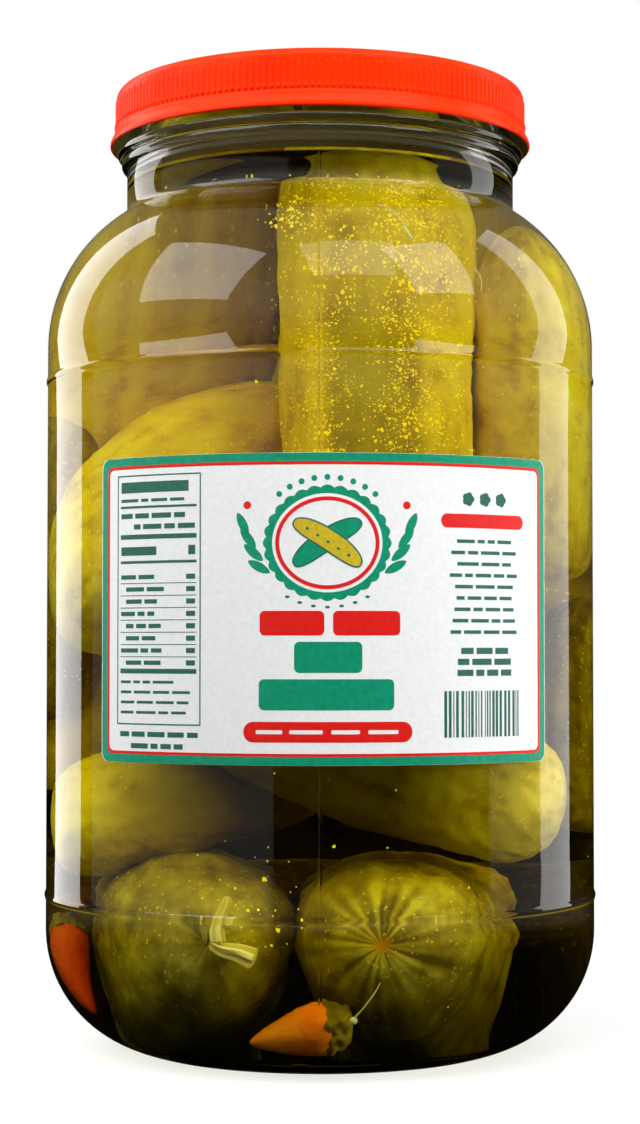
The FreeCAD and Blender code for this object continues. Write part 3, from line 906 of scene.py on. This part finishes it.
def lid_body():
    """Lathe of the lid's half section, with the ribs added to the wall's radius."""
    z0, top = LID_LOW.z, LID_HIGH.z
    wall_r = LID_WALL_R
    foot_r = LID_HIGH.x
    corner = 2.6 * MM
    rib_low, rib_high = z0 + 5.2 * MM, z0 + 13.0 * MM
    band = np.linspace(rib_low - 0.2 * MM, rib_high + 0.2 * MM, 26)
    lip = arc(foot_r - 0.5 * MM, z0 + 0.5 * MM, 0.5 * MM, -90, 10, 5)
    flare = np.linspace(0, 1, 7)
    skirt = np.c_[foot_r - (foot_r - wall_r - 0.5 * MM) * (0.5 - 0.5 * np.cos(math.pi * flare)),
                  z0 + (0.7 + 3.3 * flare) * MM]
    ledge = np.array([(wall_r + 0.45 * MM, z0 + 4.25 * MM), (wall_r + 0.1 * MM, z0 + 4.6 * MM),
                      (wall_r, z0 + 4.8 * MM)])
    over = arc(wall_r - corner, top - corner, corner, 0, 90, 12)
    cap = straight((wall_r - corner, top), (0, top), 5)
    outline = join_outline(lip, skirt, ledge, np.c_[np.full(26, wall_r), band], over, cap)
    angles = turns(RIBS * 7)
    points = turn_outline(outline, angles)
    lift = rib_lift(angles, outline[:, 1], rib_low, rib_high)
    on_wall = (np.abs(outline[:, 0] - wall_r) < 0.05 * MM)[:, None]
    radius = np.maximum(outline[:, :1], 1e-6)
    points[..., :2] *= (1 + lift * on_wall / radius)[..., None]
    made = round_object("lid_ribbed", points)
    inner_r = 56.5 * MM
    inside = join_outline(np.array([(0, RIM_Z)]), straight((0, RIM_Z), (inner_r, RIM_Z), 4),
                          straight((inner_r, RIM_Z), (inner_r, z0 + 4 * MM)),
                          np.array([(foot_r - 0.5 * MM, z0)]))
    lining = turn_outline(inside, turns(160))
    inner = round_object("lid_inside", lining)
    piece(inner, LINER, "lid")
    print("lid:", len(made.data.polygons), "faces")
    return piece(made, LID_RED, "lid")


lid_body()

# %% [markdown]
# ## The label
# A coated paper label, white with a green border and a thin red line inside it. The print is
# plain shapes of ink: each is a sheet a few hundredths of a millimetre above the paper, worked
# out flat in millimetres and then wrapped round the jar. Lines of small print are rows of
# word-long bars, and the emblem is two crossed cucumbers in a scalloped green badge.

# %% Label paper and inks
def offset_ink(name, light, dark):
    """Ink on coated paper: even, with a fine mottle of about 1 mm and the paper's sheen."""
    return mottled(name, 700.0, [(0.3, dark), (0.7, light)], 0.42, detail=3.0)


# White coated paper with faint fibre and a soft sheen.
PAPER = mottled("coated_paper", 900.0, [(0.3, "#f1f3f2"), (0.7, "#f9fbfa")], 0.5)
label_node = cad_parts["label"]
label_node.data.materials.clear()
label_node.data.materials.append(PAPER)
INKS = {
    "green": offset_ink("ink_green", "#0a9c76", "#058a66"),
    "deep": offset_ink("ink_deep_green", "#2f6f5a", "#23604c"),
    "red": offset_ink("ink_red", "#ea2018", "#e01710"),
    "white": offset_ink("ink_white", "#f9fbfa", "#f1f3f2"),
    "gold": offset_ink("ink_gold", "#d9c22e", "#c4aa1e"),
}

# %% Wrapping flat print round the jar
LABEL_R = -LABEL_LOW.y
LABEL_MID = (LABEL_LOW.z + LABEL_HIGH.z) / 2
LABEL_TURN = math.radians(1.1)
INK_STEP = 0.02 * MM
LABEL_HALF = (65.45, (LABEL_HIGH.z - LABEL_LOW.z) / 2 / MM)
PRINT = {ink: [] for ink in INKS}


def wrap(flat, layer):
    """(u, v) in mm goes to angle u / R from the label's middle and height v, one thin layer up."""
    radius = LABEL_R + INK_STEP * (1 + layer)
    angle = LABEL_TURN - math.pi / 2 + flat[..., 0] * MM / LABEL_R
    return around(radius, angle, LABEL_MID + flat[..., 1] * MM)


def put_print(ink, grid, layer, wrap_columns):
    """Keeps a grid of flat points for its ink. Its faces look outward when u runs right."""
    rows, columns = grid.shape[:2]
    PRINT[ink].append((wrap(grid, layer).reshape(-1, 3), grid_faces(rows, columns, wrap_columns)))


def bar(ink, left, right, low, high, layer=0):
    """A rectangle, split every 1.5 mm along so that it follows the round paper."""
    u = np.linspace(left, right, max(2, int((right - left) / 1.5) + 2))
    v = np.array([low, high])
    put_print(ink, np.stack(np.broadcast_arrays(u[None, :], v[:, None]), -1), layer, False)


def rounded(half_u, half_v, corner, centre=(0, 0)):
    """A rectangle with round corners, run anticlockwise: corner arcs joined by even steps."""
    turn = np.radians(np.linspace(0, 90, 7))
    quarters = []
    for k, (su, sv) in enumerate([(1, 1), (-1, 1), (-1, -1), (1, -1)]):
        a = turn + k * math.pi / 2
        quarters.append(np.c_[su * (half_u - corner) + corner * np.cos(a),
                              sv * (half_v - corner) + corner * np.sin(a)])
    steps = (84, 20, 84, 20)
    parts = []
    for k in range(4):
        share = np.linspace(0, 1, steps[k], endpoint=False)[1:, None]
        parts += [quarters[k], quarters[k][-1] * (1 - share) + quarters[(k + 1) % 4][0] * share]
    return np.vstack(parts) + centre


def oval(half_u, half_v, centre=(0, 0), lobes=0, depth=0.0, count=144):
    """An ellipse; lobes add depth * |cos(lobes / 2 * angle)| to its size."""
    a = turns(count)
    size = 1 + depth * np.abs(np.cos(lobes / 2 * a))
    return np.c_[half_u * size * np.cos(a), half_v * size * np.sin(a)] + centre


def filled(ink, outline, layer=0, rings=14):
    """Rings shrink from the outline to its middle, which closes the shape."""
    middle = outline.mean(0)
    share = np.linspace(1, 0, rings)[:, None, None]
    grid = middle + (outline - middle)[None] * share
    put_print(ink, grid, layer, True)


def band(ink, outer, inner, layer=0):
    """The strip between two outlines with the same number of points."""
    put_print(ink, np.stack([outer, inner]), layer, True)


def turned(outline, degrees, centre):
    """An outline turned about its own origin and moved to a centre."""
    c, s = math.cos(math.radians(degrees)), math.sin(math.radians(degrees))
    return outline @ np.array([[c, s], [-s, c]]) + centre


def print_line(ink, left, right, level, tall, seed, middle=False):
    """A line of small print: bars as long as words, 0.9 mm apart, from left to right."""
    rng = np.random.default_rng(seed)
    words = rng.uniform(2.2, 6.5, 20)
    ends = np.cumsum(words + 0.9)
    used = max(1, int((ends < right - left + 0.9).sum()))
    shift = (right - left - ends[used - 1] + 0.9) / 2 if middle else 0.0
    for end, word in zip(ends[:used], words[:used]):
        start = left + shift + end - word - 0.9
        bar(ink, start, start + word, level - tall / 2, level + tall / 2)


# %% Border and panels of print
half_u, half_v = LABEL_HALF
band("green", rounded(half_u - 0.05, half_v - 0.05, 2.6), rounded(half_u - 2.2, half_v - 2.2, 2.0))
band("red", rounded(half_u - 2.2, half_v - 2.2, 2.0), rounded(half_u - 3.0, half_v - 3.0, 1.6))

FACTS = (-59.4, -32.6, -29.6, 34.8)
left, right, low, high = FACTS
box_middle = ((left + right) / 2, (low + high) / 2)
box_half = ((right - left) / 2, (high - low) / 2)
band("deep", rounded(*box_half, 0.3, box_middle),
     rounded(box_half[0] - 0.35, box_half[1] - 0.35, 0.1, box_middle))
for inset, short, down, up in [(1.4, 3.5, 4.6, 1.8), (1.2, 1.2, 8.6, 8.0), (1.2, 1.2, 16.6, 15.4),
                               (1.4, 13.3, 20.8, 18.6), (23.2, 1.6, 20.8, 18.4),
                               (1.2, 1.2, 22.9, 22.2), (1.2, 1.2, 51.2, 50.2)]:
    bar("deep", left + inset, right - short, high - down, high - up)
for inset, short, down, tall, seed in [(1.4, 2, 6.6, 0.8, 31), (1.4, 2, 10.6, 1.3, 33),
                                       (6, 1.6, 13.4, 1.3, 34)]:
    print_line("deep", left + inset, right - short, high - down, tall, seed)
for line in range(8):
    level = high - 26.4 - 3.15 * line
    indent = 1.4 if line % 3 == 0 else 3.2
    print_line("deep", left + indent, right - 9, level, 1.1, 40 + line)
    bar("deep", right - 4.2, right - 1.6, level - 0.65, level + 0.65)
    bar("deep", left + 1.2, right - 1.2, level - 1.72, level - 1.52)
for line in range(4):
    print_line("deep", left + 1.4, right - 1.6, high - 53.4 - 2.6 * line, 0.7, 60 + line)
print_line("deep", left + 1.0, right - 0.6, -32.0, 1.3, 71, middle=True)
print_line("deep", left + 3.0, right - 3.0, -35.0, 1.3, 72, middle=True)

# %% Right-hand column
for column in (-5.2, 0.0, 5.2):
    filled("deep", oval(1.5, 1.5, (43.4 + column, 28.2), 5, 0.22, 60), rings=4)
filled("red", rounded(13.2, 1.8, 1.7, (43.4, 22.6)))
for line in range(9):
    print_line("deep", 32.5, 54.5, 17.4 - 2.9 * line, 0.9, 80 + line, middle=True)
for line in range(3):
    print_line("deep", 33.5, 53.5, -10.6 - 2.8 * line, 1.6, 90 + line, middle=True)
rng = np.random.default_rng(99)
place = 31.0
while place < 55.2:
    wide = rng.choice([0.3, 0.45, 0.8])
    bar("deep", place, place + wide, -32.6, -20.8)
    place += wide + rng.choice([0.35, 0.5, 0.8])

# %% Title blocks and pill
for middle, half, level, tall, ink in [(-8.6, 8.2, -3.6, 3.1, "red"),
                                       (10.4, 8.6, -3.6, 3.1, "red"),
                                       (0.6, 8.6, -12.2, 3.9, "green"),
                                       (0.2, 17.2, -21.6, 3.9, "green")]:
    filled(ink, rounded(half, tall, 1.3, (middle, level)))
filled("red", rounded(21.6, 2.6, 2.5, (0.6, -31.0)))
for middle, half in [(-14.8, 3.4), (-5.4, 4.2), (4.6, 3.6), (14.2, 3.9)]:
    filled("white", rounded(half, 0.5, 0.3, (middle + 0.4, -31.0)), layer=1, rings=8)

# %% Emblem
BADGE = (0.4, 16.6)
filled("green", oval(15.6, 14.0, BADGE, 28, 0.05, 168), rings=16)
filled("white", oval(14.0, 12.5, BADGE), layer=1)
band("red", oval(13.2, 11.7, BADGE), oval(12.2, 10.7, BADGE), layer=2)


def cucumber_outline(length, wide, bend, count=120):
    """A superellipse of length by width whose middle is bent up by bend * (1 - (u / half)^2)."""
    a = turns(count)
    u = length / 2 * np.sign(np.cos(a)) * np.abs(np.cos(a)) ** 0.75
    v = wide / 2 * np.sign(np.sin(a)) * np.abs(np.sin(a)) ** 0.85
    return np.c_[u, v + bend * (1 - (2 * u / length) ** 2)]


def leaf_outline(length, wide, count=60):
    """Half-width = wide * sin(pi * share)^0.8, pointed at both ends."""
    a = turns(count)
    u = length / 2 * np.cos(a)
    return np.c_[u, wide / 2 * np.sign(np.sin(a)) * np.abs(np.sin(a)) ** 1.4]


for ink, tilt, layer in [("green", 33, 3), ("gold", -33, 5)]:
    filled("deep", turned(cucumber_outline(20.5, 5.6, 0.8), tilt, BADGE), layer, rings=8)
    filled(ink, turned(cucumber_outline(19.7, 4.8, 0.8), tilt, BADGE), layer + 1, rings=8)
for step in range(-2, 3):
    spot = np.array([3.1 * step, 0.25])
    filled("deep", turned(oval(0.45, 0.35, spot, count=24), -33, BADGE), layer=7, rings=3)
for side in (-1, 1):
    for step in range(4):
        place = np.array([BADGE[0] + side * (17.4 + 1.4 * step), BADGE[1] - 6.0 + 3.6 * step])
        filled("green", turned(leaf_outline(6.4, 2.3), 90 - side * (62 - 12 * step), place),
               rings=6)
    filled("red", oval(1.0, 1.0, (BADGE[0] + side * 20.4, BADGE[1] + 9.6), count=24), rings=3)
for ink, half, size, middle, apart, count in [("green", (18.2, 16.6), (0.75, 0.75), 90, 10.5, 9),
                                              ("deep", (18.6, 16.2), (0.6, 0.35), 270, 11, 7)]:
    for a in np.radians(middle + apart * (np.arange(count) - count // 2)):
        spot = (BADGE[0] + half[0] * math.cos(a), BADGE[1] + half[1] * math.sin(a))
        filled(ink, oval(*size, spot, count=20), rings=3)

# %% One piece for each ink
for ink, sheets in PRINT.items():
    shift = np.cumsum([0] + [len(points) for points, _ in sheets])[:-1]
    points = np.vstack([points for points, _ in sheets])
    faces = np.vstack([faces + first for (_, faces), first in zip(sheets, shift)])
    made = mesh_object("print_" + ink, points, faces)
    piece(made, INKS[ink])
    print("print", ink + ":", len(faces), "faces")

# %% [markdown]
# ## Stage
# The floor and the world are white where the camera looks straight at them, so the jar stands on
# plain white with a faint shadow. To the glass they are a dim room over a dark table cloth: full
# brine and thick glass gather the light of the whole room, and a white one would make the jar's
# rims and foot glow, where real ones go dark.

# %% Floor
def stage_floor():
    """To the camera: white, lit with shadow near the jar and plain white further out. To all
    other rays: dark cloth."""
    material, tree = new_material("stage_floor")
    coords = add_node(tree, "TexCoord").outputs["Object"]
    far = add_node(tree, "VectorMath", {"operation": "LENGTH"}, _0=coords)
    grow = fade(tree, far.outputs["Value"], 0.07, 0.32, 0.72, 1.0, "SMOOTHSTEP")
    noise = add_node(tree, "TexNoise", Vector=coords, Scale=3.0)
    pale = ramp(tree, noise, [(0.3, "#f4f4f2"), (0.7, "#f8f8f6")])
    cloth = add_node(tree, "BsdfDiffuse", Color=linear("#080706"))
    lit = add_node(tree, "BsdfDiffuse", Color=pale)
    plain = add_node(tree, "Emission", Color=linear("#ffffff"), Strength=1.0)
    seen = add_node(tree, "MixShader", Fac=grow, _1=lit, _2=plain)
    path = add_node(tree, "LightPath")
    both = add_node(tree, "MixShader", Fac=path.outputs["Is Camera Ray"], _1=cloth, _2=seen)
    add_node(tree, "OutputMaterial", Surface=both)
    return material


floor = mesh_object("floor", np.array([(-4, -4, 0), (4, -4, 0), (4, 4, 0), (-4, 4, 0)]),
                    [(0, 1, 2, 3)], smooth=False)
floor.data.materials.append(stage_floor())
floor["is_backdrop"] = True

# %% World
world = bpy.data.worlds.new("studio")
world.use_nodes = True
bpy.context.scene.world = world
tree = world.node_tree
tree.nodes.clear()
path = add_node(tree, "LightPath")
way = add_node(tree, "TexCoord").outputs["Generated"]
rise = add_node(tree, "SeparateXYZ", _0=way).outputs["Z"]
dim = fade(tree, rise, 0.0, 0.26, 0.010, 0.56)
less = compute(tree, "MULTIPLY_ADD", path.outputs["Is Transmission Ray"], 0.78, 0.22)
both = compute(tree, "MULTIPLY", dim, less)
room = add_node(tree, "Background", Color=linear("#fffdf8"), Strength=both)
white = add_node(tree, "Background", Color=linear("#ffffff"), Strength=1.0)
mix = add_node(tree, "MixShader", Fac=path.outputs["Is Camera Ray"], _1=room, _2=white)
add_node(tree, "OutputWorld", Surface=mix)

# %% [markdown]
# ## Lamps
# A soft box of brightness L and area A gives pi * A * L watts, so each is named by how bright it
# looks. Two tall strips close behind the jar draw the pale bands down its sides, two dim wide
# panels lay a veil over the glass, three small boxes overhead leave patches on the shoulder, and
# two more, left out of reflections, light the label and the pickles from in front.

# %% Soft boxes
def soft_box(name, turn, rise, far, target, size, bright, mirrored=True, lights=True):
    """An area lamp aimed at a height on the jar's axis. It stands `far` metres away, `turn`
    degrees to the right of the jar's front and `rise` degrees up."""
    lamp = bpy.data.lights.new(name, "AREA")
    lamp.shape = "RECTANGLE"
    lamp.size, lamp.size_y = size
    lamp.energy = math.pi * size[0] * size[1] * bright
    made = bpy.data.objects.new(name, lamp)
    a, e = math.radians(turn), math.radians(rise)
    aim = Vector((0, 0, target))
    made.location = aim + far * Vector((math.sin(a) * math.cos(e), -math.cos(a) * math.cos(e),
                                        math.sin(e)))
    made.rotation_euler = (aim - made.location).to_track_quat("-Z", "Y").to_euler()
    made.visible_camera = False
    made.visible_transmission = False
    made.visible_glossy = mirrored
    made.visible_diffuse = lights
    bpy.context.scene.collection.objects.link(made)
    return made


soft_box("strip_left", -120, 0, 0.395, 0.32, (0.185, 0.64), 3.4)
soft_box("strip_right", 104.5, 0, 0.398, 0.32, (0.155, 0.64), 2.4)
soft_box("veil_left", -60, 0, 0.53, 0.28, (0.97, 0.56), 0.28, lights=False)
soft_box("veil_right", 84, 0, 0.50, 0.28, (0.30, 0.56), 0.28, lights=False)
soft_box("patch_left", -58, 38, 0.85, 0.15, (0.62, 0.50), 3.6)
soft_box("patch_right", 53, 40, 0.85, 0.15, (0.38, 0.46), 3.0)
soft_box("patch_front", 15, 48, 0.85, 0.15, (0.45, 0.36), 1.8)
soft_box("fill_left", -40, 60, 0.90, 0.16, (0.55, 0.60), 5.35, mirrored=False)
soft_box("fill_right", 40, 60, 0.90, 0.16, (0.55, 0.60), 5.55, mirrored=False)
soft_box("side_left", -88, 30, 0.70, 0.16, (0.36, 0.50), 3.0, mirrored=False)
soft_box("side_right", 64, 1, 0.70, 0.10, (0.30, 0.18), 13.0, mirrored=False)

# %% [markdown]
# ## Camera
# The camera stands two thirds of a metre away, a little under half the jar's height, so that
# the top is seen from just below and the foot from above.

# %% Camera
camera = bpy.data.cameras.new("camera")
camera.sensor_width = 36.0
camera.lens = 75.7
camera.clip_start = 0.01
eye = bpy.data.objects.new("camera", camera)
eye.location = (0, -0.671, 0.1114)
eye.rotation_euler = (Vector((0, 0, 0.1353)) - eye.location).to_track_quat("-Z", "Y").to_euler()
bpy.context.scene.collection.objects.link(eye)
bpy.context.scene.camera = eye
bpy.context.scene.view_settings.view_transform = "Standard"
print("lens:", camera.lens, "mm")

# %% Sizes and finish
low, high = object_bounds()
